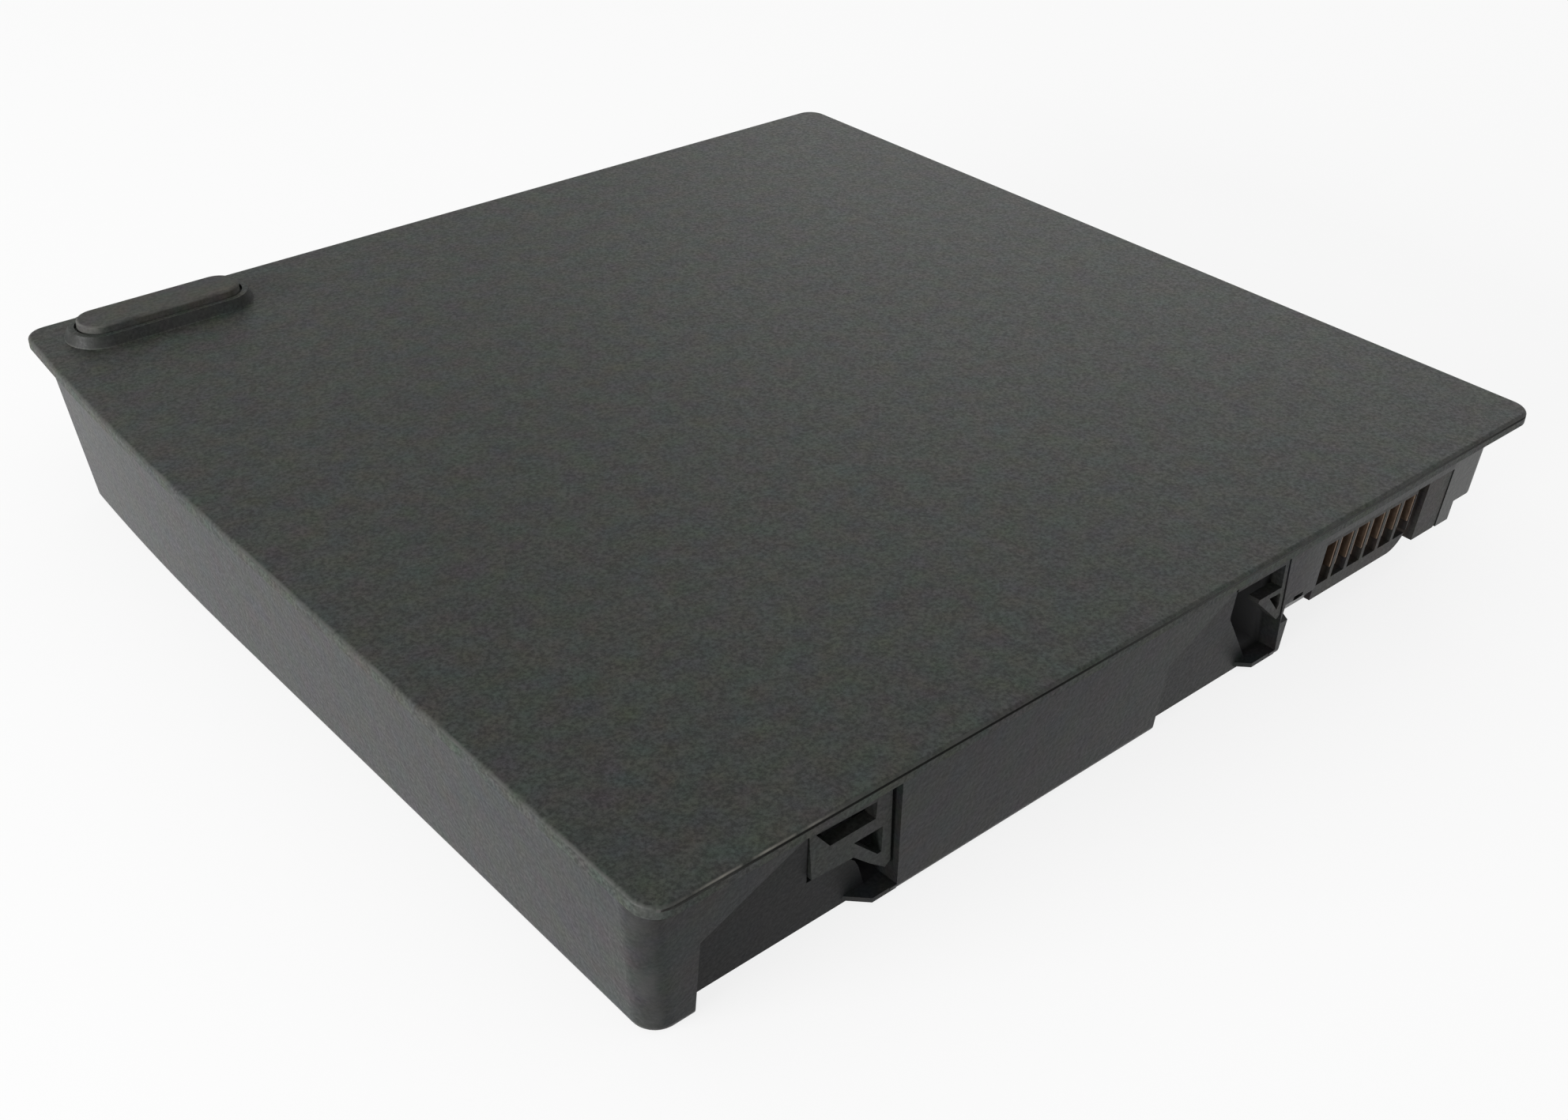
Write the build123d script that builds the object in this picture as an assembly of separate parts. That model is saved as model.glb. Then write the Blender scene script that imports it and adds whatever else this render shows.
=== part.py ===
from build123d import *
from collections import namedtuple
import math
import os

# Cells: cylindrical lithium-ion cells lying along X, two columns of six rows.
cell_diameter = 18.3
cell_length = 65.0
cell_rows = 6
cell_play = 0.125
row_gap = 0.05
button_height = 0.2
button_radius = 3.4

# Tabs and cards at the ends of the cells.
strip_thickness = 0.2
strip_width = 8.0
strip_seat = 0.05
weld_slit_length = 4.0
weld_slit_width = 0.8
card_thickness = 0.3
card_margin = 2.15
end_play = 0.15
rim_room = 2.0
foam_thickness = 1.1

# Moulded case: a tray with leaning walls under a flat cover that overhangs it.
wall = 1.5
floor = 1.0
cover_skin = 1.05
cover_lip = 1.5
cover_corner_radius = 3.0
cover_edge_round = 0.5
edge_line_drop = 0.32
edge_line_height = 0.3
edge_line_depth = 0.4
left_overhang = 0.15
right_overhang = 6.2
front_overhang = 1.9
back_overhang = 10.5
left_draft = 6.4
side_bend_length = 55.0
side_bend = 2.4
side_bend_room = 0.85
front_draft = 4.4
back_draft = 6.4
front_left_radius = 3.0
side_corner_radius = 1.6
underside_round = 1.2
board_bay = 14.55
rim_height = 1.4
rim_thickness = 1.0
fit = 0.15

# Hook stations in the front wall: a lead-in ramp beside a deep pocket that a catch tongue half covers.
# Drops are measured down from the plane where the tray meets the cover.
left_station_from_wall = 33.75
right_station_from_wall = 40.8
left_ramp_width = 26.2
right_ramp_width = 23.5
left_ramp_edge_drop = 8.6
right_ramp_edge_drop = 9.0
left_ramp_angle = 25.6
right_ramp_angle = 31.0
left_ramp_depth = 2.5
right_ramp_depth = 1.75
ramp_top_depth = 0.7
pocket_depth = 8.2
pocket_floor = 1.2
left_shoulder = -1.9
right_shoulder = -4.15
left_sill = -2.7
right_sill = -4.5

# Catch tongues of the cover, drawn as points: x from the station, and drop.
# The turn is how far a tongue goes deeper for each unit of length to the left.
tongue_thickness = 1.6
left_tongue_setback = 0.7
right_tongue_setback = 0.1
left_tongue_turn = 0.045
right_tongue_turn = 0.0
left_tongue = ((-12.55, 0), (-10.96, 10.8), (-5.5, 10.8), (-3.1, 13.05), (-0.75, 14.95), (-0.1, 14.3),
               (-1.7, 0))
left_window = ((-11.1, 4.45), (-9.0, 7.1), (-3.1, 6.7), (-3.2, 4.25))
left_eye = ((-5.75, 8.65), (-2.15, 12.25), (-1.6, 12.2), (-1.9, 8.4))
left_pocket_side = (0.73, -1.09)
left_pocket_edge = ((-12.9, -1.5), (-11.0, 11.65), (-5.45, 11.65), (-4.2, 12.8), (-3.4, 14.2))
right_tongue = ((-12.75, 0), (-12.5, 3.25), (-3.3, 3.25), (-2.7, 6.9), (-7.0, 6.9), (-7.2, 7.3), (-1.8, 12.2),
                (-1.25, 11.8), (-3.05, 0))
right_eye = ((-4.85, 7.65), (-2.4, 10.45), (-2.25, 9.6), (-2.6, 7.8))
right_pocket_side = (0.0, -3.14)
right_pocket_edge = ((-12.95, -1.5), (-12.7, 3.4), (-11.0, 3.4), (-10.6, 8.75))

# Connector at the right end of the front wall, over a raised stretch of the underside.
step_drop = 12.7
end_step_drop = 9.75
end_foot_width = 3.1
end_round = 1.6
step_wall = 0.85
step_depth = 9.4
step_bevel = 2.2
notch_width = 1.9
notch_height = 0.8
notch_drop = 10.7
connector_gap = 4.6
connector_width = 20.1
connector_drop = 3.7
connector_setback = 0.3
connector_depth = 8.6
connector_corner_radius = 3.5
slot_count = 6
slot_pitch = 3.4
slot_width = 2.75
slot_bottom_drop = 10.6
slot_top_drop = 4.5
slot_depth = 5.0
contact_metal = 0.3
contact_height = 4.2
contact_inset = 0.1
key_gap = 2.1
key_depth = 3.0
key_post_width = 5.3
key_post_setback = 0.1
key_post_round = 0.6

# Rubber foot on its plinth at the left end of the back lip.
foot_length = 23.3
foot_width = 6.0
foot_from_left = 7.5
foot_from_back = 4.2
foot_rise = 1.0
foot_round = 0.4
foot_gap = 0.35
plinth_height = 1.5
plinth_rim = 0.8
plinth_slope = 25.0
plinth_recess = 0.6

# Protection board standing on edge between the front wall and the cells.
board_thickness = 1.0
board_from_cells = 3.5
board_height = 15.0
board_end_room = 9.0
board_rib_length = 1.2
board_rib_height = 3.0
board_rib_width = 4.0
chip_length = 9.0
chip_height = 7.0
chip_thickness = 1.2
transistor_length = 5.0
transistor_height = 6.0
transistor_thickness = 1.4
fuse_length = 8.0
fuse_height = 4.5
fuse_thickness = 1.8
resistor_length = 6.4
resistor_height = 3.2
resistor_thickness = 0.8
bead_radius = 1.55
bead_length = 5.0
sense_wire_radius = 0.35

# Sizes that follow from the ones above.
cell_radius = cell_diameter / 2
cell_bottom = floor + cell_play
cell_axis_z = cell_bottom + cell_radius
case_height = floor + cell_diameter + 2 * cell_play + cover_skin
parting_z = case_height - cover_lip
card_height = cell_diameter - 2 * card_margin
left_lean = math.tan(math.radians(left_draft))
front_lean = math.tan(math.radians(front_draft))
back_lean = math.tan(math.radians(back_draft))
cell_reach = cell_length + button_height
middle_gap = 2 * strip_thickness + card_thickness + 4 * strip_seat
row_pitch = cell_diameter + row_gap
left_pad = strip_seat + strip_thickness + card_thickness + end_play
right_pad = left_pad + rim_room
inner_length = left_pad + 2 * cell_reach + middle_gap + right_pad
rows_depth = cell_rows * row_pitch - row_gap
lean_run = (parting_z - cell_bottom) * left_lean
back_run = (parting_z - cell_bottom) * back_lean
side_room = lean_run + side_bend_room
cover_width = left_overhang + side_room + wall + inner_length + wall + right_overhang
cover_depth = (front_overhang + wall + board_bay + rows_depth + end_play
               + foam_thickness + back_run + wall + back_overhang)

# Places of the walls, with the origin under the middle of the cover.
cover_left = -cover_width / 2
cover_front = -cover_depth / 2
cover_back = cover_depth / 2
wall_left = cover_left + left_overhang
wall_right = cover_width / 2 - right_overhang
wall_front = cover_front + front_overhang
wall_back = cover_back - back_overhang
cells_left = wall_left + side_room + wall + left_pad
cells_middle = cells_left + cell_reach + middle_gap / 2
cells_right = cells_left + 2 * cell_reach + middle_gap
cells_front = wall_front + wall + board_bay
left_station = wall_left + left_station_from_wall
right_station = wall_right - right_station_from_wall
step_height = parting_z - step_drop
end_step_height = parting_z - end_step_drop
step_left = right_station + step_wall
connector_left = step_left + connector_gap
connector_right = connector_left + connector_width
connector_top = parting_z - connector_drop
connector_back = wall_front + connector_setback + connector_depth
key_post_left = connector_right + key_gap
key_post_right = key_post_left + key_post_width
end_foot_right = key_post_right + end_foot_width
slot_bottom = parting_z - slot_bottom_drop
slot_top = parting_z - slot_top_drop
board_back = cells_front - board_from_cells
board_front = board_back - board_thickness
board_bottom = floor + fit
bend_start = cover_back - side_bend_length
bend_radius = (side_bend_length ** 2 + side_bend ** 2) / (2 * side_bend)

Hook = namedtuple("Hook", ("x", "ramp_width", "edge_drop", "angle", "depth", "shoulder", "sill", "setback",
                           "turn", "tongue", "holes", "side", "edge"))
left_hook = Hook(left_station, left_ramp_width, left_ramp_edge_drop, left_ramp_angle, left_ramp_depth,
                 left_shoulder, left_sill, left_tongue_setback, left_tongue_turn, left_tongue,
                 (left_window, left_eye), left_pocket_side, left_pocket_edge)
right_hook = Hook(right_station, right_ramp_width, right_ramp_edge_drop, right_ramp_angle, right_ramp_depth,
                  right_shoulder, right_sill, right_tongue_setback, right_tongue_turn, right_tongue,
                  (right_eye,), right_pocket_side, right_pocket_edge)
hooks = (left_hook, right_hook)


def front_face(z):
    """Y of the leaning front wall at height z."""
    return wall_front + (parting_z - z) * front_lean


def back_face(z):
    """Y of the leaning back wall at height z."""
    return wall_back - (parting_z - z) * back_lean


def across(outline, y_from, y_to):
    """Solid whose XZ outline runs along Y."""
    return extrude(Plane.XZ.offset(-y_from) * outline, y_to - y_from, dir=(0, 1, 0))


def along(outline, x_from, x_to):
    """Solid whose YZ outline runs along X."""
    return extrude(Plane.YZ.offset(x_from) * outline, x_to - x_from, dir=(1, 0, 0))


def polygon(*points):
    """Flat face through the points, left where they are."""
    return Polygon(*points, align=None)


def block(x_from, x_to, y_from, y_to, z_from, z_to):
    """Box between two opposite corners."""
    size = Box(x_to - x_from, y_to - y_from, z_to - z_from)
    return Pos((x_from + x_to) / 2, (y_from + y_to) / 2, (z_from + z_to) / 2) * size


def side_plan(edge_x):
    """Plan on the right of the left side's edge, which runs straight and then bends in towards the back."""
    half = side_bend_length / 2
    front_end = (edge_x, cover_front - wall)
    bend_end = (edge_x + side_bend, cover_back)
    bend_middle = (edge_x + bend_radius - math.sqrt(bend_radius ** 2 - half ** 2), bend_start + half)
    straight = Line(front_end, (edge_x, bend_start))
    bend = ThreePointArc((edge_x, bend_start), bend_middle, bend_end)
    rest = Polyline(bend_end, (edge_x + cover_width, cover_back), (edge_x + cover_width, cover_front - wall),
                    front_end)
    return make_face(Curve() + [straight, bend, rest])


def tray_block(inset, z_low, z_high):
    """Block with the tray's leaning front and left sides, moved inwards by inset."""
    rise = z_high - z_low
    edge_x = wall_left + (parting_z - z_low) * left_lean + inset
    side = extrude(Pos(0, 0, z_low) * side_plan(edge_x), rise * math.sqrt(1 + left_lean ** 2),
                   dir=(-left_lean, 0, 1))
    profile = polygon((front_face(z_low) + inset, z_low), (back_face(z_low) - inset, z_low),
                      (back_face(z_high) - inset, z_high), (front_face(z_high) + inset, z_high))
    return side & along(profile, cover_left - wall, wall_right - inset)


def corner_edges(solid):
    """Edges that climb from the underside to the rim: the one at the front left, and the other three."""
    climbing = [edge for edge in solid.edges() if abs((edge @ 0).Z - (edge @ 1).Z) > parting_z / 2]
    corners = [edge for edge in climbing if not wall_front + board_bay < (edge @ 0.5).Y < wall_back - back_run]
    front_left = [edge for edge in corners if (edge @ 0.5).X < 0 and (edge @ 0.5).Y < 0]
    others = [edge for edge in corners if edge not in front_left]
    return front_left, others


def drawn(hook, points):
    """Outline through points given as x from the hook's station, and drop from the rim."""
    return polygon(*[(hook.x + x, parting_z - drop) for x, drop in points])


def ramp(hook, grow):
    """Lead-in ramp left of a hook's pocket; grow gives the thicker form that its wall leaves."""
    left = hook.x - hook.ramp_width
    diagonal_run = hook.edge_drop / math.tan(math.radians(hook.angle))
    outline = polygon(
        (left, -floor),
        (left, parting_z - hook.edge_drop),
        (left + diagonal_run, parting_z),
        (hook.x + hook.side[1] - wall / 2, parting_z),
        (hook.x + hook.side[0] - wall / 2, -floor),
    )
    if grow:
        outline = offset(outline, grow, kind=Kind.INTERSECTION)
    profile = polygon(
        (wall_front - wall, -wall),
        (front_face(-wall) + hook.depth + grow, -wall),
        (front_face(parting_z) + ramp_top_depth + grow, parting_z + wall),
        (wall_front - wall, parting_z + wall),
    )
    return across(outline, wall_front - wall, wall_front + pocket_depth) & along(
        profile, left - wall, hook.x + wall
    )


def pocket(hook, grow):
    """Deep pocket of a hook station, open to the front and to the rim."""
    floor_drop = parting_z - pocket_floor
    top_drop = hook.edge[0][1]
    right_side = ((hook.side[0], floor_drop), (hook.side[1], top_drop))
    outline = drawn(hook, right_side + hook.edge + ((hook.shoulder, floor_drop),))
    if grow:
        outline = offset(outline, grow, kind=Kind.INTERSECTION)
    return across(outline, wall_front - wall, wall_front + pocket_depth + grow)


def pocket_sill(hook):
    """Floor of a pocket, which runs out to the face of the wall past the end of the ramp."""
    front = front_face(0)
    left = hook.x + hook.sill
    right = hook.x + hook.side[0]
    plan = polygon(
        (left - hook.depth, front + hook.depth + wall),
        (left - hook.depth, front + hook.depth),
        (left, front),
        (right, front),
        (right, front + hook.depth + wall),
    )
    return extrude(Pos(0, 0, underside_round / 2) * plan, pocket_floor - underside_round / 2, dir=(0, 0, 1))


def connector_step(grow):
    """Raised stretch of the underside below the connector and the end block."""
    outline = polygon(
        (step_left, -floor),
        (step_left, step_height),
        (end_foot_right, step_height),
        (end_foot_right, end_step_height),
        (wall_right - end_round, end_step_height),
        (wall_right - end_round / 4, end_step_height + end_round / 4),
        (wall_right, end_step_height + end_round),
        (wall_right + 2 * wall, end_step_height + end_round),
        (wall_right + 2 * wall, -floor),
    )
    if grow:
        outline = offset(outline, grow, kind=Kind.INTERSECTION)
    return across(outline, wall_front - wall, wall_front + step_depth + grow)


def step_edge_bevel():
    """Bevel under the stretch of wall between the right hook and the connector."""
    front = front_face(step_height)
    profile = polygon((front - step_bevel, step_height - step_bevel), (front + step_bevel / 2, step_height),
                      (front_face(step_height + step_bevel), step_height + step_bevel))
    return along(profile, step_left - wall, connector_left)


def step_notch():
    """Small notch beside the right hook, above the bevel."""
    low = parting_z - notch_drop
    return block(step_left, step_left + notch_width, wall_front - wall, front_face(low) + wall / 2,
                 low, low + notch_height)


def connector_opening():
    """Hole in the front wall that the connector's housing fills."""
    return block(connector_left - fit, key_post_right + fit, wall_front - wall, connector_back + fit,
                 step_height - 2 * wall, connector_top + fit)


def board_ribs():
    """Two pairs of ribs on the floor that the board stands between."""
    ribs = []
    for x in (cells_left + cell_length / 4, cells_right - cell_length / 4):
        for y in (board_front - fit - board_rib_length, board_back + fit):
            ribs.append(block(x, x + board_rib_width, y, y + board_rib_length,
                              floor / 2, floor + board_rib_height))
    return ribs


def bottom_case():
    """Tray: leaning walls, hook stations, connector opening and the stepped underside."""
    shell = tray_block(0, 0, parting_z)
    shell = fillet(corner_edges(shell)[0], front_left_radius)
    shell = fillet(corner_edges(shell)[1], side_corner_radius)
    shell = fillet(shell.faces().sort_by(Axis.Z)[0].edges(), underside_round)
    inside = tray_block(wall, floor, parting_z + wall)
    inside -= connector_step(wall)
    shell -= connector_step(0)
    for hook in hooks:
        inside -= ramp(hook, wall)
        inside -= pocket(hook, wall)
        shell -= ramp(hook, 0)
        shell += pocket_sill(hook)
        shell -= pocket(hook, 0)
    shell -= inside
    shell -= connector_opening()
    shell -= step_edge_bevel()
    shell -= step_notch()
    for rib in board_ribs():
        shell += rib
    return shell


def catch_tongue(hook):
    """Flap under the cover's front edge, with the openings of a catch."""
    face = drawn(hook, hook.tongue)
    for points in hook.holes:
        face -= drawn(hook, points)
    drop = max(point[1] for point in hook.tongue)
    reach = hook.ramp_width + wall
    front = wall_front + hook.setback + hook.turn * hook.ramp_width
    back = front + tongue_thickness
    lean = drop * front_lean
    profile = polygon((front, parting_z), (front + lean, parting_z - drop),
                      (back + lean, parting_z - drop), (back, parting_z))
    slab = extrude(Plane.YZ.offset(hook.x - hook.ramp_width) * profile, reach * math.sqrt(1 + hook.turn ** 2),
                   dir=(1, -hook.turn, 0))
    return across(face, wall_front, wall_front + pocket_depth) & slab


def cover_rim():
    """Locating rim under the cover, just inside the tray's walls."""
    low = parting_z - rim_height
    ring = tray_block(wall + fit, low, parting_z) - tray_block(wall + fit + rim_thickness, low, parting_z)
    for hook in hooks:
        ring -= ramp(hook, wall + fit)
        ring -= pocket(hook, wall + fit)
    front_clear = block(step_left - wall - fit, wall_right, wall_front, connector_back + wall, low, parting_z)
    return ring - front_clear


def foot_slot(grow):
    """Outline of the foot, grown by a margin, over its place on the cover."""
    centre_x = cover_left + foot_from_left + foot_length / 2
    centre_y = cover_back - foot_from_back - foot_width / 2
    return Pos(centre_x, centre_y, 0) * SlotOverall(foot_length + 2 * grow, foot_width + 2 * grow)


def foot_plinth():
    """Low plinth with sloping sides that carries the foot."""
    spread = foot_gap + plinth_rim + plinth_height * math.tan(math.radians(plinth_slope))
    return extrude(Pos(0, 0, case_height) * foot_slot(spread), plinth_height, taper=plinth_slope)


def edge_line():
    """Fine groove along the cover's front edge, a little below the top."""
    high = case_height - edge_line_drop
    return block(cover_left - wall, wall - cover_left, cover_front - wall, cover_front + edge_line_depth,
                 high - edge_line_height, high)


def top_cover():
    """Flat cover with overhanging lips, catch tongues, locating rim and the foot's plinth."""
    outline = side_plan(cover_left) & Rectangle(cover_width, cover_depth)
    plate = extrude(Pos(0, 0, parting_z) * outline, cover_lip, dir=(0, 0, 1))
    corners = [edge for edge in plate.edges().filter_by(Axis.Z) if abs((edge @ 0).Y) > cover_depth / 2 - fit]
    plate = fillet(corners, cover_corner_radius)
    plate = fillet(plate.faces().sort_by(Axis.Z)[-1].edges(), cover_edge_round)
    plate -= edge_line()
    plate -= block(cells_left, cells_right, cells_front, cells_front + rows_depth,
                   parting_z, case_height - cover_skin)
    plate += cover_rim()
    for hook in hooks:
        plate += catch_tongue(hook)
    plate += foot_plinth()
    seat = case_height + plinth_height - plinth_recess
    return plate - extrude(Pos(0, 0, seat) * foot_slot(foot_gap), 2 * plinth_recess)


def rubber_foot():
    """Pill-shaped rubber foot, seated in the plinth's recess."""
    seat = case_height + plinth_height - plinth_recess
    foot = extrude(Pos(0, 0, seat) * foot_slot(0), plinth_recess + foot_rise)
    return fillet(foot.faces().sort_by(Axis.Z)[-1].edges(), foot_round)


def cell():
    """One cell along +X from the flat end to the button, axis on X."""
    can = Cylinder(cell_radius, cell_length, align=(Align.CENTER, Align.CENTER, Align.MIN))
    can += extrude(Pos(0, 0, cell_length) * Circle(button_radius), button_height)
    return Rot(0, 90, 0) * can


def row_y(row):
    """Y of the axis of a row of cells, counted from the front."""
    return cells_front + cell_radius + row * row_pitch


def placed_cells():
    """Twelve cells: the button points left in the front left and back right groups."""
    cells = []
    for column in range(2):
        for row in range(cell_rows):
            left = cells_left + column * (cell_reach + middle_gap)
            front_group = row < cell_rows / 2
            button_left = front_group == (column == 0)
            if button_left:
                place = Pos(left + cell_reach, row_y(row), cell_axis_z) * Rot(0, 0, 180)
            else:
                place = Pos(left, row_y(row), cell_axis_z)
            cells.append(place * cell())
    return cells


def strip(x, first_row, last_row):
    """Nickel strip over the ends of several rows, with a weld slit at each cell."""
    half = strip_width / 2
    bar = block(x, x + strip_thickness, row_y(first_row) - half, row_y(last_row) + half,
                cell_axis_z - half, cell_axis_z + half)
    for row in range(first_row, last_row + 1):
        slit = block(x, x + strip_thickness, -weld_slit_width / 2, weld_slit_width / 2,
                     cell_axis_z - weld_slit_length / 2, cell_axis_z + weld_slit_length / 2)
        bar -= Pos(0, row_y(row), 0) * slit
    return bar


def strip_tail(x, height):
    """Tail that runs from a front strip to the back of the board."""
    half = strip_width / 4
    return block(x, x + strip_thickness, board_back, row_y(0), height - half, height + half)


def end_strip(x, toward):
    """Strip over all six rows of one end, with a tail bent along the back of the board."""
    bar = strip(x, 0, cell_rows - 1) + strip_tail(x, cell_axis_z)
    tab_end = x + toward * 2 * strip_width
    tab = block(min(x, tab_end), max(x + strip_thickness, tab_end), board_back, board_back + strip_thickness,
                cell_axis_z - strip_width / 4, cell_axis_z + strip_width / 4)
    return bar + tab


def left_end_strip():
    """Series link over the left ends."""
    return end_strip(cells_left - strip_seat - strip_thickness, 1)


def right_end_strip():
    """Series link over the right ends."""
    return end_strip(cells_right + strip_seat, -1)


def back_middle_strip():
    """Series link between the columns at the back: two leaves joined by a fold under the cells."""
    left = cells_left + cell_reach + strip_seat
    right = left + middle_gap - 2 * strip_seat - strip_thickness
    first = cell_rows // 2
    low = cell_axis_z - strip_width / 2
    fold = block(left, right + strip_thickness, row_y(first), row_y(cell_rows - 1), low, low + strip_thickness)
    return strip(left, first, cell_rows - 1) + strip(right, first, cell_rows - 1) + fold


def pack_negative_strip():
    """Front strip of the left column, with a tail to the board."""
    x = cells_left + cell_reach + strip_seat
    return strip(x, 0, cell_rows // 2 - 1) + strip_tail(x, cell_axis_z)


def pack_positive_strip():
    """Front strip of the right column, with a tail to the board."""
    x = cells_left + cell_reach + middle_gap - strip_seat - strip_thickness
    return strip(x, 0, cell_rows // 2 - 1) + strip_tail(x, cell_axis_z)


def insulating_card(x, last_row):
    """Upright card of stiff insulating paper beside the ends of the cells."""
    half = card_height / 2
    return block(x, x + card_thickness, row_y(0) - cell_radius / 2, row_y(last_row) + cell_radius / 2,
                 cell_axis_z - half, cell_axis_z + half)


def protection_board():
    """Circuit board on edge, from beside one side wall to beside the other."""
    return block(cells_left + board_end_room, cells_right - board_end_room, board_front, board_back,
                 board_bottom, board_bottom + board_height)


def board_part(x, length, height, thickness):
    """Part soldered to the front of the board, half way up."""
    middle = board_bottom + board_height / 2
    return block(x, x + length, board_front - thickness, board_front, middle - height / 2, middle + height / 2)


def transistor_pair():
    """Two power transistors side by side."""
    first = cells_middle - 3 * transistor_length
    return Compound(children=[
        board_part(first, transistor_length, transistor_height, transistor_thickness),
        board_part(first + 1.5 * transistor_length, transistor_length, transistor_height, transistor_thickness),
    ])


def thermistor():
    """Bead that lies between the board and the first row of cells."""
    middle_y = (board_back + cells_front) / 2
    bead = Rot(0, 90, 0) * Cylinder(bead_radius, bead_length)
    return Pos(cells_left + cell_length / 2, middle_y, cell_axis_z) * bead


def sense_wire():
    """Thin wire from the back middle strip to the board, in the gap between the columns."""
    back = row_y(cell_rows // 2)
    height = cell_axis_z + card_height / 2 + 2 * sense_wire_radius
    wire = Rot(90, 0, 0) * Cylinder(sense_wire_radius, back - board_back)
    return Pos(cells_middle, (back + board_back) / 2, height) * wire


def slot_centre(index):
    """X of the middle of one of the connector's slots."""
    run = slot_pitch * (slot_count - 1)
    return (connector_left + connector_right - run) / 2 + index * slot_pitch


def connector_front():
    """Y of the lower edge of the connector's face."""
    return front_face(step_height) + connector_setback


def leaning_block(x_from, x_to, setback, y_to, z_from, z_to):
    """Block whose front leans with the wall, at a setback from its face."""
    profile = polygon((front_face(z_from) + setback, z_from), (y_to, z_from), (y_to, z_to),
                      (front_face(z_to) + setback, z_to))
    return along(profile, x_from, x_to)


def contact(index):
    """Forked contact: two leaves along the slot's sides, joined at the back, and a tail to the board."""
    middle_z = (slot_bottom + slot_top) / 2
    half = slot_width / 2
    back = connector_front() + slot_depth
    low = slot_top - contact_height
    fork = leaning_block(-half, half, connector_setback + contact_inset, back, low, slot_top)
    fork -= block(-half + contact_metal, half - contact_metal, wall_front, back - contact_metal, low, slot_top)
    tail = block(-contact_metal, contact_metal, back - contact_metal, board_front,
                 middle_z - contact_metal, middle_z + contact_metal)
    return Pos(slot_centre(index), 0, 0) * (fork + tail)


def connector_housing():
    """Moulded block with a slot and a tail hole for each contact, and a key post beside them."""
    front = connector_front()
    body = leaning_block(connector_left, connector_right, connector_setback, connector_back,
                         step_height, connector_top)
    lower_edges = [edge for edge in body.edges().filter_by(Axis.Y) if (edge @ 0).Z < slot_bottom]
    right_corner = sorted(lower_edges, key=lambda edge: (edge @ 0).X)[-1]
    body = fillet(right_corner, connector_corner_radius)
    post = leaning_block(key_post_left, key_post_right, key_post_setback, connector_back,
                         step_height, connector_top)
    lower_edges = [edge for edge in post.edges().filter_by(Axis.Y) if (edge @ 0).Z < slot_bottom]
    right_corner = sorted(lower_edges, key=lambda edge: (edge @ 0).X)[-1]
    post = fillet(right_corner, key_post_round)
    bridge = block(connector_right - wall, key_post_left + wall, front + key_depth, connector_back,
                   step_height + connector_corner_radius, connector_top)
    body += post + bridge
    middle_z = (slot_bottom + slot_top) / 2
    hole = contact_metal + fit
    for index in range(slot_count):
        x = slot_centre(index)
        body -= block(x - slot_width / 2, x + slot_width / 2, wall_front, front + slot_depth,
                      slot_bottom, slot_top)
        body -= block(x - hole, x + hole, wall_front, connector_back, middle_z - hole, middle_z + hole)
    return body


def foam_strip():
    """Foam pad between the last row of cells and the back wall."""
    half = card_height / 2
    back = back_face(cell_axis_z - half) - wall
    return block(cells_left, cells_right, back - foam_thickness, back, cell_axis_z - half, cell_axis_z + half)


def subparts():
    """Every node of the pack by name."""
    nodes = {
        "bottom_case": bottom_case(),
        "top_cover": top_cover(),
        "rubber_foot": rubber_foot(),
        "left_end_strip": left_end_strip(),
        "right_end_strip": right_end_strip(),
        "back_middle_strip": back_middle_strip(),
        "pack_negative_strip": pack_negative_strip(),
        "pack_positive_strip": pack_positive_strip(),
        "left_card": insulating_card(cells_left - left_pad + end_play / 2, cell_rows - 1),
        "right_card": insulating_card(cells_right + strip_seat + strip_thickness + end_play / 2, cell_rows - 1),
        "middle_card": insulating_card(cells_middle - card_thickness / 2, cell_rows // 2 - 1),
        "protection_board": protection_board(),
        "gauge_chip": board_part(cells_middle, chip_length, chip_height, chip_thickness),
        "transistor_pair": transistor_pair(),
        "thermal_fuse": board_part(left_station + fuse_length / 2, fuse_length, fuse_height, fuse_thickness),
        "shunt_resistor": board_part(cells_left + board_end_room + fuse_length, resistor_length,
                                     resistor_height, resistor_thickness),
        "thermistor": thermistor(),
        "sense_wire": sense_wire(),
        "connector_housing": connector_housing(),
        "connector_contacts": Compound(children=[contact(index) for index in range(slot_count)]),
        "foam_strip": foam_strip(),
    }
    for number, placed in enumerate(placed_cells(), start=1):
        nodes[f"cell_{number:02d}"] = placed
    return nodes


os.makedirs("parts", exist_ok=True)
for name, solid in subparts().items():
    export_step(solid, f"parts/{name}.step")
print("cover", round(cover_width, 2), "x", round(cover_depth, 2), "height", round(case_height, 2))
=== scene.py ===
import bpy
from mathutils import Matrix, Vector

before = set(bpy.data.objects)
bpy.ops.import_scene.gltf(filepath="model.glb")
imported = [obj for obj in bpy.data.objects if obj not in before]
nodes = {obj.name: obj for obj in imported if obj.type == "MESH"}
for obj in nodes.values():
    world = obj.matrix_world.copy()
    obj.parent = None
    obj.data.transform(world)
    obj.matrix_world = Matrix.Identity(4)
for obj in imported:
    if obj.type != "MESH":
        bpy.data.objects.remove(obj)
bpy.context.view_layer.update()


# Tray: an injection-moulded box in dark grey plastic with a fine spark-eroded grain.
# Its walls lean in towards the bottom so that it leaves the mould, and the cover is welded on its rim.
# Two ramps are sunk in its front wall, each beside a pocket for a hook of the battery bay.
def feed(tree, value, socket):
    """Link a value that changes over the surface, or set a plain number or colour."""
    if isinstance(value, bpy.types.NodeSocket):
        tree.links.new(value, socket)
    elif isinstance(value, tuple):
        socket.default_value = (*value, 1)
    else:
        socket.default_value = value


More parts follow.
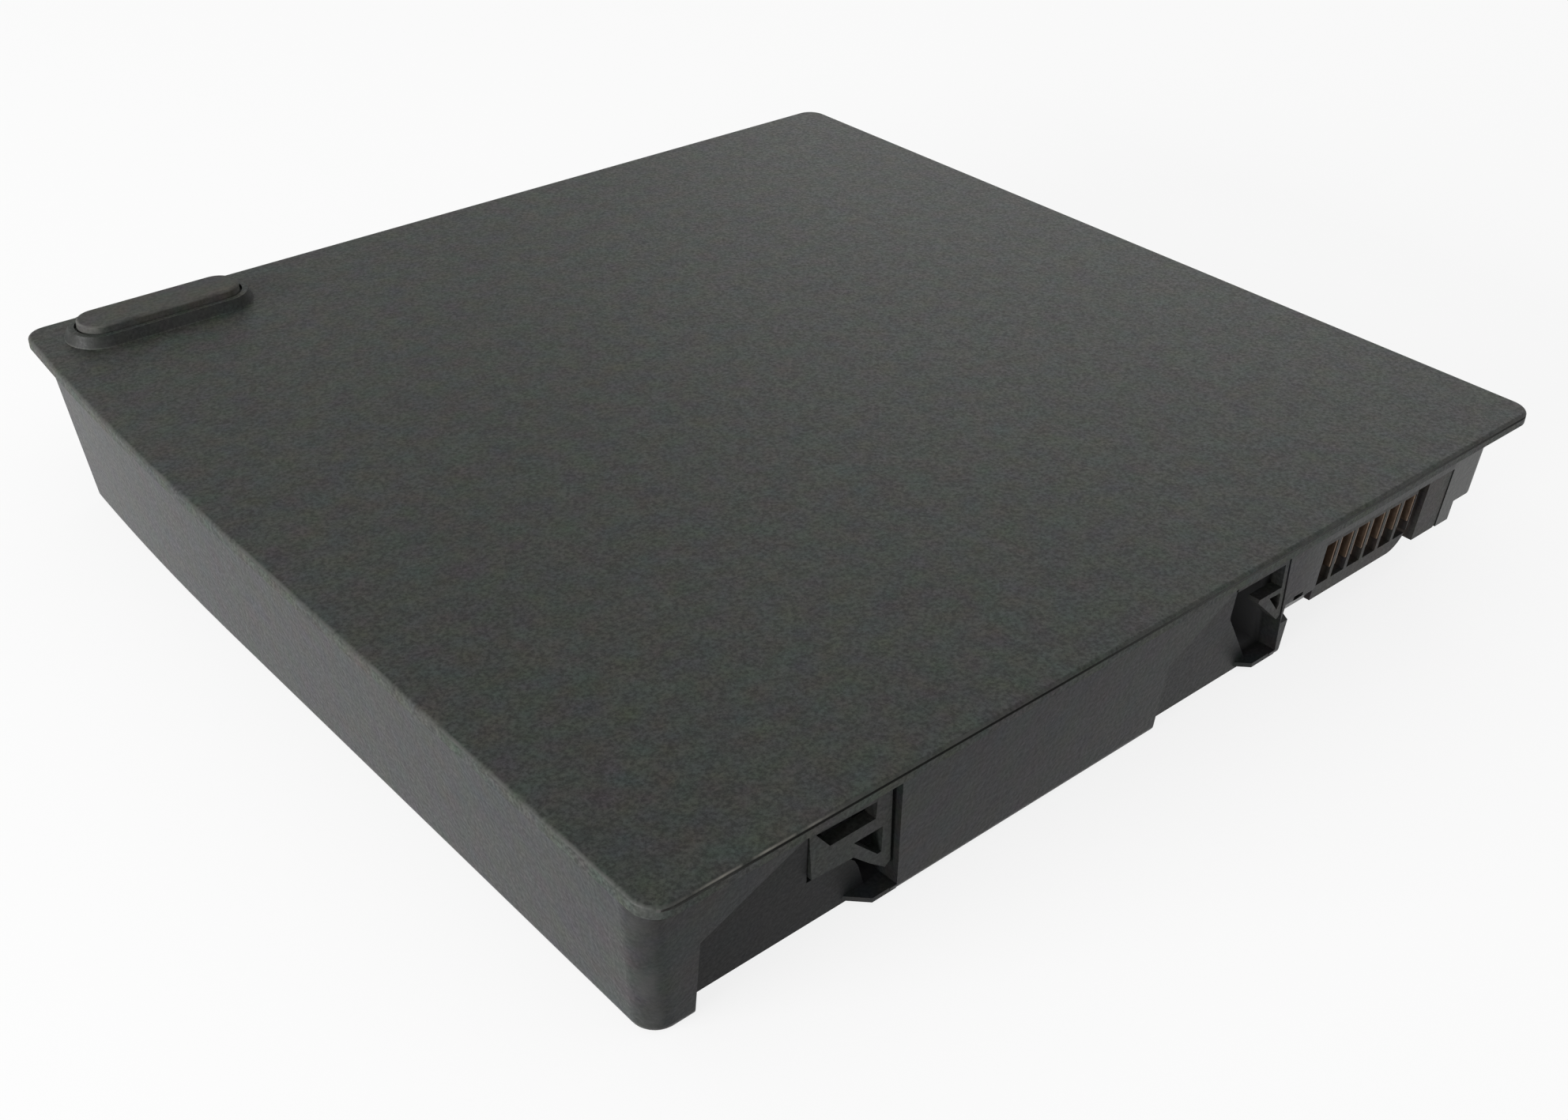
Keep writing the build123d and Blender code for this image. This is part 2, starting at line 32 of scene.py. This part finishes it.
def combine(tree, operation, *values, clamp=False):
    """Work out one value from others."""
    node = tree.nodes.new("ShaderNodeMath")
    node.operation = operation
    node.use_clamp = clamp
    for value, socket in zip(values, node.inputs):
        feed(tree, value, socket)
    return node.outputs[0]


def rescale(tree, value, from_low=0.0, from_high=1.0, to_low=0.0, to_high=1.0):
    """Carry a value from one range to another and hold it there."""
    node = tree.nodes.new("ShaderNodeMapRange")
    node.inputs["From Min"].default_value = from_low
    node.inputs["From Max"].default_value = from_high
    node.inputs["To Min"].default_value = to_low
    node.inputs["To Max"].default_value = to_high
    tree.links.new(value, node.inputs["Value"])
    return node.outputs["Result"]


def blotches(tree, place, scale, detail, roughness=0.5):
    """Noise over a piece."""
    node = tree.nodes.new("ShaderNodeTexNoise")
    feed(tree, place, node.inputs["Vector"])
    feed(tree, scale, node.inputs["Scale"])
    node.inputs["Detail"].default_value = detail
    node.inputs["Roughness"].default_value = roughness
    return node.outputs


def mix_colours(tree, share, first, second, blend="MIX"):
    """Lay the second colour over the first."""
    node = tree.nodes.new("ShaderNodeMix")
    node.data_type = "RGBA"
    node.blend_type = blend
    feed(tree, share, node.inputs["Factor"])
    feed(tree, first, node.inputs["A"])
    feed(tree, second, node.inputs["B"])
    return node.outputs["Result"]


def object_place(tree):
    """Place on the piece, in metres in the shared frame."""
    return tree.nodes.new("ShaderNodeTexCoord").outputs["Object"]


def new_group(name, numbers_in=(), numbers_out=(), colours_out=()):
    """Start a shared effect, with the sockets on its two sides."""
    group = bpy.data.node_groups.new(name, "ShaderNodeTree")
    for side, kind, names in (("INPUT", "NodeSocketFloat", numbers_in), ("OUTPUT", "NodeSocketFloat", numbers_out),
                              ("OUTPUT", "NodeSocketColor", colours_out)):
        for socket in names:
            group.interface.new_socket(socket, in_out=side, socket_type=kind)
    return group, group.nodes.new("NodeGroupInput").outputs, group.nodes.new("NodeGroupOutput").inputs


def place_group(tree, group, **values):
    """Put a shared effect into a material with the material's own values."""
    node = tree.nodes.new("ShaderNodeGroup")
    node.node_tree = group
    for name, value in values.items():
        feed(tree, value, node.inputs[name])
    return node.outputs


def spark_grain_group():
    """Grain of a spark-eroded mould: pits, pale flecks, broad clouds and a drift of colour."""
    pits_for_each_grain = 0.55
    group, given, out = new_group("spark_grain", ("Grain",), ("Height", "Fleck", "Cloud"), ("Tint",))
    place = object_place(group)
    fine = blotches(group, place, given["Grain"], detail=2.0, roughness=0.6)["Fac"]
    pits = group.nodes.new("ShaderNodeTexVoronoi")
    pits.feature = "SMOOTH_F1"
    pits.inputs["Smoothness"].default_value = 0.6
    group.links.new(place, pits.inputs["Vector"])
    group.links.new(combine(group, "MULTIPLY", given["Grain"], pits_for_each_grain), pits.inputs["Scale"])
    group.links.new(combine(group, "ADD", fine, pits.outputs["Distance"]), out["Height"])
    group.links.new(rescale(group, fine, from_low=0.35, from_high=0.68), out["Fleck"])
    group.links.new(blotches(group, place, scale=22.0, detail=3.0)["Fac"], out["Cloud"])
    group.links.new(blotches(group, place, scale=280.0, detail=2.0)["Color"], out["Tint"])
    return group


def worn_edge_group():
    """Edges, found where the surface faces between two axes, and rubbed in patches."""
    group, _, out = new_group("worn_edge", numbers_out=("Wear",))
    coords = group.nodes.new("ShaderNodeTexCoord").outputs
    facing = group.nodes.new("ShaderNodeSeparateXYZ")
    group.links.new(coords["Normal"], facing.inputs["Vector"])
    turned = []
    for first, second in (("X", "Y"), ("Y", "Z"), ("X", "Z")):
        product = combine(group, "MULTIPLY", facing.outputs[first], facing.outputs[second])
        turned.append(combine(group, "ABSOLUTE", product))
    most = combine(group, "MAXIMUM", combine(group, "MAXIMUM", turned[0], turned[1]), turned[2])
    edge = rescale(group, most, from_low=0.24, from_high=0.46)
    rub = blotches(group, coords["Object"], scale=260.0, detail=4.0)["Fac"]
    patches = rescale(group, rub, from_low=0.36, from_high=0.66)
    group.links.new(combine(group, "MULTIPLY", edge, patches), out["Wear"])
    return group


def between_group():
    """One where a value lies between two limits, with soft ends."""
    group, given, out = new_group("between", ("Value", "Low", "High", "Soft"), ("Mask",))
    ends = []
    for more, less in (("Value", "Low"), ("High", "Value")):
        past = combine(group, "SUBTRACT", given[more], given[less])
        ends.append(combine(group, "DIVIDE", past, given["Soft"], clamp=True))
    group.links.new(combine(group, "MULTIPLY", *ends), out["Mask"])
    return group


spark_grain = spark_grain_group()
worn_edge = worn_edge_group()
between = between_group()


def mask_between(tree, value, low, high, soft):
    """Mask of the places where a value lies between two limits."""
    return place_group(tree, between, Value=value, Low=low, High=high, Soft=soft)["Mask"]


def mask_of_all(tree, *masks):
    """Mask of the places that all the masks share."""
    whole = masks[0]
    for mask in masks[1:]:
        whole = combine(tree, "MULTIPLY", whole, mask)
    return whole


def tint_where(tree, mask, colour, strength):
    """Lay a colour over a material where a mask is set."""
    base = tree.nodes["Principled BSDF"].inputs["Base Color"]
    before = base.links[0].from_socket
    share = combine(tree, "MULTIPLY", mask, strength)
    tree.links.new(mix_colours(tree, share, before, colour), base)


def roughen_where(tree, mask, more):
    """Make a material rougher where a mask is set."""
    roughness = tree.nodes["Principled BSDF"].inputs["Roughness"]
    before = roughness.links[0].from_socket
    tree.links.new(combine(tree, "MULTIPLY_ADD", mask, more, before, clamp=True), roughness)


def place_and_facing(tree):
    """Place on the piece and the way its surface faces, each as X, Y and Z."""
    coords = tree.nodes.new("ShaderNodeTexCoord").outputs
    place = tree.nodes.new("ShaderNodeSeparateXYZ")
    facing = tree.nodes.new("ShaderNodeSeparateXYZ")
    tree.links.new(coords["Object"], place.inputs["Vector"])
    tree.links.new(coords["Normal"], facing.inputs["Vector"])
    return place.outputs, facing.outputs


def new_material(name):
    """Start a material, with its node tree and its shader."""
    mat = bpy.data.materials.new(name)
    mat.use_nodes = True
    return mat, mat.node_tree, mat.node_tree.nodes["Principled BSDF"]


def add_relief(tree, height, strength, distance):
    """Fine relief of a surface."""
    relief = tree.nodes.new("ShaderNodeBump")
    relief.inputs["Strength"].default_value = strength
    relief.inputs["Distance"].default_value = distance
    tree.links.new(height, relief.inputs["Height"])
    tree.links.new(relief.outputs["Normal"], tree.nodes["Principled BSDF"].inputs["Normal"])


def moulded_plastic(name, dark, light, worn, grain, roughness, bump, shine):
    """Moulded plastic or rubber with flecks, clouds, a drift of colour and rubbed edges."""
    colour_drift, cloud_swing, gloss_swing, grain_height = 0.28, 0.08, 0.04, 0.00006
    mat, tree, shader = new_material(name)
    surface = place_group(tree, spark_grain, Grain=grain)
    clouds = rescale(tree, surface["Cloud"], to_low=1 - cloud_swing, to_high=1 + cloud_swing)
    colour = mix_colours(tree, surface["Fleck"], dark, light)
    colour = mix_colours(tree, 1.0, colour, clouds, blend="MULTIPLY")
    colour = mix_colours(tree, colour_drift, colour, surface["Tint"], blend="OVERLAY")
    colour = mix_colours(tree, place_group(tree, worn_edge)["Wear"], colour, worn)
    gloss = rescale(tree, surface["Fleck"], to_low=roughness + gloss_swing, to_high=roughness - gloss_swing)
    tree.links.new(colour, shader.inputs["Base Color"])
    tree.links.new(gloss, shader.inputs["Roughness"])
    add_relief(tree, surface["Height"], bump, grain_height)
    shader.inputs["Specular IOR Level"].default_value = shine
    return mat


def dress(names, mat):
    """Give pieces a material."""
    for name in names:
        obj = nodes[name]
        if not obj.material_slots:
            obj.data.materials.append(mat)
        for slot in obj.material_slots:
            slot.material = mat


def depth_behind_wall(tree, place):
    """Distance behind the leaning face of the front wall."""
    wall_lean, wall_foot = 0.0769, 0.06826
    leaning = combine(tree, "MULTIPLY_ADD", place["Z"], wall_lean, place["Y"])
    return combine(tree, "ADD", leaning, wall_foot)


tray_plastic = moulded_plastic(
    "tray_plastic", dark=(0.015, 0.016, 0.016), light=(0.025, 0.0255, 0.0255), worn=(0.032, 0.032, 0.0315),
    grain=2600.0, roughness=0.34, bump=0.35, shine=0.11)
tray_tree = tray_plastic.node_tree
tray_at, tray_faces = place_and_facing(tray_tree)


def tray_stretch(low, high, soft):
    """Mask of a stretch of the tray from left to right."""
    return mask_between(tray_tree, tray_at["X"], low, high, soft)


stations_meet, right_station_end, past_the_end = -0.03, 0.031, 0.08
behind_face = depth_behind_wall(tray_tree, tray_at)
sunk = mask_between(tray_tree, behind_face, low=0.0004, high=0.0032, soft=0.0002)
squarely_front = mask_between(tray_tree, tray_faces["Y"], low=-1.1, high=-0.94, soft=0.02)
ramp_face = mask_of_all(tray_tree, sunk, squarely_front)
left_ramp = mask_of_all(tray_tree, ramp_face, tray_stretch(-0.072, stations_meet, soft=0.001))
right_ramp = mask_of_all(tray_tree, ramp_face, tray_stretch(stations_meet, right_station_end, soft=0.001))
in_pocket = mask_between(tray_tree, behind_face, low=0.0025, high=0.0097, soft=0.001)
left_pocket = mask_of_all(tray_tree, in_pocket, tray_stretch(-0.056, stations_meet, soft=0.0005))
right_pocket = mask_of_all(tray_tree, in_pocket, tray_stretch(stations_meet, right_station_end, soft=0.0005))
faces_front = mask_between(tray_tree, tray_faces["Y"], low=-1.1, high=-0.9, soft=0.05)
painted_light_right_end = mask_of_all(tray_tree, faces_front, tray_stretch(0.027, past_the_end, soft=0.006))
painted_sheen_end_block = mask_of_all(tray_tree, faces_front, tray_stretch(0.0594, past_the_end, soft=0.0003))
# Painted shade: the sunk faces of the ramps are darkened, the left more than the right, and made rougher.
painted_ramp_shade = (0.006, 0.006, 0.0065)
tint_where(tray_tree, left_ramp, painted_ramp_shade, strength=0.7)
roughen_where(tray_tree, left_ramp, more=0.22)
tint_where(tray_tree, right_ramp, painted_ramp_shade, strength=0.38)
roughen_where(tray_tree, right_ramp, more=0.09)
# Painted light: the insides of the hook pockets are lightened, the right one more, to lift their shade.
tint_where(tray_tree, left_pocket, (0.045, 0.045, 0.047), strength=0.9)
tint_where(tray_tree, right_pocket, (0.115, 0.115, 0.118), strength=0.9)
# Painted light: the front faces at the right end, around the connector, are lightened, and the end block more, as
# a painted sheen.
tint_where(tray_tree, painted_light_right_end, (0.068, 0.069, 0.068), strength=0.6)
tint_where(tray_tree, painted_sheen_end_block, (0.098, 0.1, 0.097), strength=0.8)
dress(["bottom_case"], tray_plastic)


# Cells: twelve cylindrical lithium-ion cells, each a steel can in a heat-shrunk sleeve.
# The sleeve is glossy and slightly uneven where it shrank over the can.
sleeve, sleeve_tree, sleeve_shader = new_material("cell_sleeve_film")
sleeve_ripple = blotches(sleeve_tree, object_place(sleeve_tree), scale=180.0, detail=4.0)["Fac"]
sleeve_colour = mix_colours(sleeve_tree, sleeve_ripple, (0.022, 0.13, 0.17), (0.04, 0.2, 0.24))
sleeve_tree.links.new(sleeve_colour, sleeve_shader.inputs["Base Color"])
add_relief(sleeve_tree, sleeve_ripple, strength=0.25, distance=0.0001)
sleeve_shader.inputs["Roughness"].default_value = 0.28
dress([f"cell_{number:02d}" for number in range(1, 13)], sleeve)


# Strips: thin nickel-plated steel, stamped with a slit at each cell and spot-welded to the cell ends.
# Rolling leaves fine lines along the strip.
nickel, strip_tree, strip_shader = new_material("rolled_nickel")
strip_stretch = strip_tree.nodes.new("ShaderNodeMapping")
strip_stretch.inputs["Scale"].default_value = (1.0, 0.04, 1.0)
strip_tree.links.new(object_place(strip_tree), strip_stretch.inputs["Vector"])
strip_lines = blotches(strip_tree, strip_stretch.outputs["Vector"], scale=2400.0, detail=3.0)["Fac"]
strip_gloss = rescale(strip_tree, strip_lines, to_low=0.25, to_high=0.45)
strip_tree.links.new(strip_gloss, strip_shader.inputs["Roughness"])
add_relief(strip_tree, strip_lines, strength=0.15, distance=0.00003)
strip_shader.inputs["Base Color"].default_value = (0.62, 0.6, 0.56, 1)
strip_shader.inputs["Metallic"].default_value = 1.0
dress(["left_end_strip", "right_end_strip", "back_middle_strip", "pack_negative_strip", "pack_positive_strip"],
      nickel)


# Cards: stiff insulating paper slipped between the strips and the case, pale green-yellow with visible fibres.
# Foam: a strip of grey closed-cell foam that keeps the last row of cells from rattling.
def speckled(name, dark, light, grain, roughness, bump):
    """Plain material with flecks and a fine relief."""
    fleck_height = 0.00008
    mat, tree, shader = new_material(name)
    surface = place_group(tree, spark_grain, Grain=grain)
    tree.links.new(mix_colours(tree, surface["Fleck"], dark, light), shader.inputs["Base Color"])
    add_relief(tree, surface["Height"], bump, fleck_height)
    shader.inputs["Roughness"].default_value = roughness
    return mat


dress(["left_card", "middle_card", "right_card"],
      speckled("fibre_card", dark=(0.48, 0.54, 0.36), light=(0.6, 0.65, 0.47),
               grain=900.0, roughness=0.85, bump=0.3))
dress(["foam_strip"],
      speckled("cell_foam", dark=(0.09, 0.09, 0.09), light=(0.15, 0.15, 0.15),
               grain=1400.0, roughness=0.95, bump=0.8))


# Protection board: glass-fibre laminate under green solder mask, standing on edge behind the front wall.
# The chip, transistors, fuse, resistor and thermistor on it are moulded in black epoxy.
# The sense wire from the back of the pack has red insulation.
dress(["protection_board"],
      speckled("solder_mask", dark=(0.016, 0.14, 0.06), light=(0.024, 0.18, 0.08),
               grain=700.0, roughness=0.35, bump=0.1))
dress(["gauge_chip", "transistor_pair", "thermal_fuse", "shunt_resistor", "thermistor"],
      speckled("black_epoxy", dark=(0.016, 0.016, 0.017), light=(0.026, 0.026, 0.027),
               grain=3000.0, roughness=0.6, bump=0.3))
dress(["sense_wire"],
      speckled("red_insulation", dark=(0.45, 0.03, 0.025), light=(0.55, 0.05, 0.04),
               grain=800.0, roughness=0.4, bump=0.05))


# Connector: a block of glass-filled plastic, browner than the case, with a slot for each blade of the bay.
# It drops into the tray's opening before the cover goes on, and the key post beside it bars a wrong pack.
# The walls inside the slots are painted lighter, as painted light that lifts their shade.
connector_plastic = moulded_plastic(
    "connector_plastic", dark=(0.021, 0.0187, 0.0175), light=(0.033, 0.0297, 0.028), worn=(0.05, 0.046, 0.042),
    grain=3000.0, roughness=0.46, bump=0.3, shine=0.16)
connector_tree = connector_plastic.node_tree
connector_at = place_and_facing(connector_tree)[0]
slot_depth = depth_behind_wall(connector_tree, connector_at)
slot_walls_painted_light = mask_between(connector_tree, slot_depth, low=0.0008, high=0.012, soft=0.0005)
# Painted light: the walls inside the slots are lightened to lift their shade.
tint_where(connector_tree, slot_walls_painted_light, (0.075, 0.062, 0.054), strength=0.9)
dress(["connector_housing"], connector_plastic)


# Contacts: forked leaves stamped from copper alloy, dulled brown by handling and air.
# They are pressed into the slots from behind and their tails are soldered to the board.
copper = speckled("copper_alloy", dark=(0.23, 0.16, 0.115), light=(0.31, 0.225, 0.165),
                  grain=1600.0, roughness=0.45, bump=0.08)
copper.node_tree.nodes["Principled BSDF"].inputs["Metallic"].default_value = 1.0
dress(["connector_contacts"], copper)


# Cover: the outer skin of the pack, moulded in the same grey plastic with a drier grain.
# Its lips overhang the tray, and the catch tongues hang from its front edge.
# A fine groove runs along that edge; it is painted lighter to lift its shade, most on the right, and a painted
# highlight lies on the rounded edge at the front left corner.
cover_plastic = moulded_plastic(
    "cover_plastic", dark=(0.0203, 0.0223, 0.0195), light=(0.0482, 0.0525, 0.0466), worn=(0.048, 0.049, 0.046),
    grain=2400.0, roughness=0.46, bump=0.4, shine=0.12)
cover_tree = cover_plastic.node_tree
cover_at, cover_faces = place_and_facing(cover_tree)
edge_line = mask_of_all(
    cover_tree,
    mask_between(cover_tree, cover_at["Z"], low=0.01996, high=0.0203, soft=0.00002),
    mask_between(cover_tree, cover_at["Y"], low=-0.0716, high=-0.0710, soft=0.00002),
)
painted_light_corner_groove = mask_of_all(
    cover_tree, edge_line, mask_between(cover_tree, cover_at["X"], low=-0.075, high=-0.058, soft=0.008))
painted_light_right_groove = mask_of_all(
    cover_tree, edge_line, mask_between(cover_tree, cover_at["X"], low=-0.02, high=0.08, soft=0.03))
painted_highlight_corner = mask_of_all(
    cover_tree,
    mask_between(cover_tree, cover_at["X"], low=-0.0716, high=-0.05, soft=0.012),
    mask_between(cover_tree, cover_at["Y"], low=-0.0721, high=-0.0711, soft=0.0001),
    mask_between(cover_tree, cover_faces["Z"], low=0.35, high=0.85, soft=0.2),
    place_group(cover_tree, worn_edge)["Wear"],
    mask_between(cover_tree, cover_at["Z"], low=0.02025, high=0.0208, soft=0.00005),
)
plinth_side = mask_of_all(
    cover_tree,
    mask_between(cover_tree, cover_at["Z"], low=0.0207, high=0.0222, soft=0.0001),
    mask_between(cover_tree, cover_faces["Z"], low=-0.1, high=0.9, soft=0.1),
)
tongues = mask_between(cover_tree, cover_at["Z"], low=-0.001, high=0.0188, soft=0.0003)
# Painted shade: the front-facing side of the foot's plinth and the tongues under the lip are darkened.
painted_shade = (0.012, 0.012, 0.0125)
tint_where(cover_tree, plinth_side, painted_shade, strength=0.6)
tint_where(cover_tree, tongues, painted_shade, strength=0.45)
# Painted light: the groove along the front edge is lightened to lift its shade, more near the front left corner
# and most on the right.
tint_where(cover_tree, edge_line, (0.034, 0.034, 0.032), strength=1.0)
tint_where(cover_tree, painted_light_corner_groove, (0.1, 0.1, 0.095), strength=1.0)
tint_where(cover_tree, painted_light_right_groove, (0.17, 0.17, 0.165), strength=1.0)
# Painted highlight: a pale glint on the rounded front edge near the front left corner, broken in patches.
tint_where(cover_tree, painted_highlight_corner, (0.42, 0.4, 0.35), strength=1.0)
dress(["top_cover"], cover_plastic)


# Foot: a moulded rubber pad, stuck into the recess of its plinth on the back lip.
# The rubber is matt and a little dusty.
dress(["rubber_foot"], moulded_plastic(
    "foot_rubber", dark=(0.033, 0.033, 0.0295), light=(0.051, 0.051, 0.0455), worn=(0.078, 0.078, 0.072),
    grain=2000.0, roughness=0.75, bump=0.4, shine=0.3))


# Studio: a pale floor that the pack lies on, a low soft light from the left and one from the back right.
# The world is white behind the pack and in its reflections, and the camera stands where the photo's stood.
def seen_by_eye(tree):
    """One for rays from the camera, a reflection or glass, and nought for light that falls on things."""
    rays = tree.nodes.new("ShaderNodeLightPath").outputs
    seen = combine(tree, "MAXIMUM", rays["Is Camera Ray"], rays["Is Glossy Ray"])
    return combine(tree, "MAXIMUM", seen, rays["Is Transmission Ray"])


floor_half, floor_drop, floor_white = 3, 0.0001, 0.82
floor_mesh = bpy.data.meshes.new("floor")
floor_mesh.from_pydata(
    [(-floor_half, -floor_half, 0), (floor_half, -floor_half, 0), (floor_half, floor_half, 0),
     (-floor_half, floor_half, 0)], [], [(0, 1, 2, 3)])
floor = bpy.data.objects.new("floor", floor_mesh)
bpy.context.scene.collection.objects.link(floor)
floor.location.z = -floor_drop
paper, paper_tree, paper_shader = new_material("floor_paper")
paper_shader.inputs["Base Color"].default_value = (0.93, 0.93, 0.93, 1)
paper_shader.inputs["Roughness"].default_value = 0.9
paper_shader.inputs["Specular IOR Level"].default_value = 0.0
paper_white = paper_tree.nodes.new("ShaderNodeEmission")
paper_white.inputs["Color"].default_value = (1, 1, 1, 1)
paper_mix = paper_tree.nodes.new("ShaderNodeMixShader")
paper_share = combine(paper_tree, "MULTIPLY", seen_by_eye(paper_tree), floor_white)
paper_tree.links.new(paper_share, paper_mix.inputs["Fac"])
paper_tree.links.new(paper_shader.outputs["BSDF"], paper_mix.inputs[1])
paper_tree.links.new(paper_white.outputs["Emission"], paper_mix.inputs[2])
paper_tree.links.new(paper_mix.outputs["Shader"], paper_tree.nodes["Material Output"].inputs["Surface"])
floor_mesh.materials.append(paper)

world = bpy.data.worlds.new("studio")
bpy.context.scene.world = world
world.use_nodes = True
sky = world.node_tree.nodes["Background"]
sky.inputs["Color"].default_value = (1, 1, 1, 1)
sky_level = rescale(world.node_tree, seen_by_eye(world.node_tree), to_low=0.6, to_high=1.0)
world.node_tree.links.new(sky_level, sky.inputs["Strength"])


def softbox(name, place, aim, width, height, watts):
    """Rectangular lamp that faces a point."""
    lamp = bpy.data.lights.new(name, "AREA")
    lamp.shape = "RECTANGLE"
    lamp.size, lamp.size_y, lamp.energy = width, height, watts
    obj = bpy.data.objects.new(name, lamp)
    obj.location = place
    obj.rotation_euler = (Vector(aim) - Vector(place)).to_track_quat("-Z", "Y").to_euler()
    bpy.context.scene.collection.objects.link(obj)


softbox("left_softbox", place=(-0.8, 0.0, 0.15), aim=(-0.07, 0, 0.01), width=0.6, height=0.2, watts=9.5)
softbox("back_softbox", place=(0.95, 0.6, 0.42), aim=(0, 0, 0), width=0.8, height=0.4, watts=1.25)

lens = bpy.data.cameras.new("photo_camera")
lens.sensor_fit = "HORIZONTAL"
lens.sensor_width = 36.0
lens.lens = 42.06
lens.clip_start = 0.01
camera = bpy.data.objects.new("photo_camera", lens)
camera.matrix_world = Matrix((
    (0.754285, 0.347385, -0.557115, -0.14269),
    (-0.656133, 0.428981, -0.620858, -0.16501),
    (0.023315, 0.833846, 0.551505, 0.13483),
    (0, 0, 0, 1),
))
bpy.context.scene.collection.objects.link(camera)
bpy.context.scene.camera = camera
bpy.context.scene.view_settings.view_transform = "Standard"
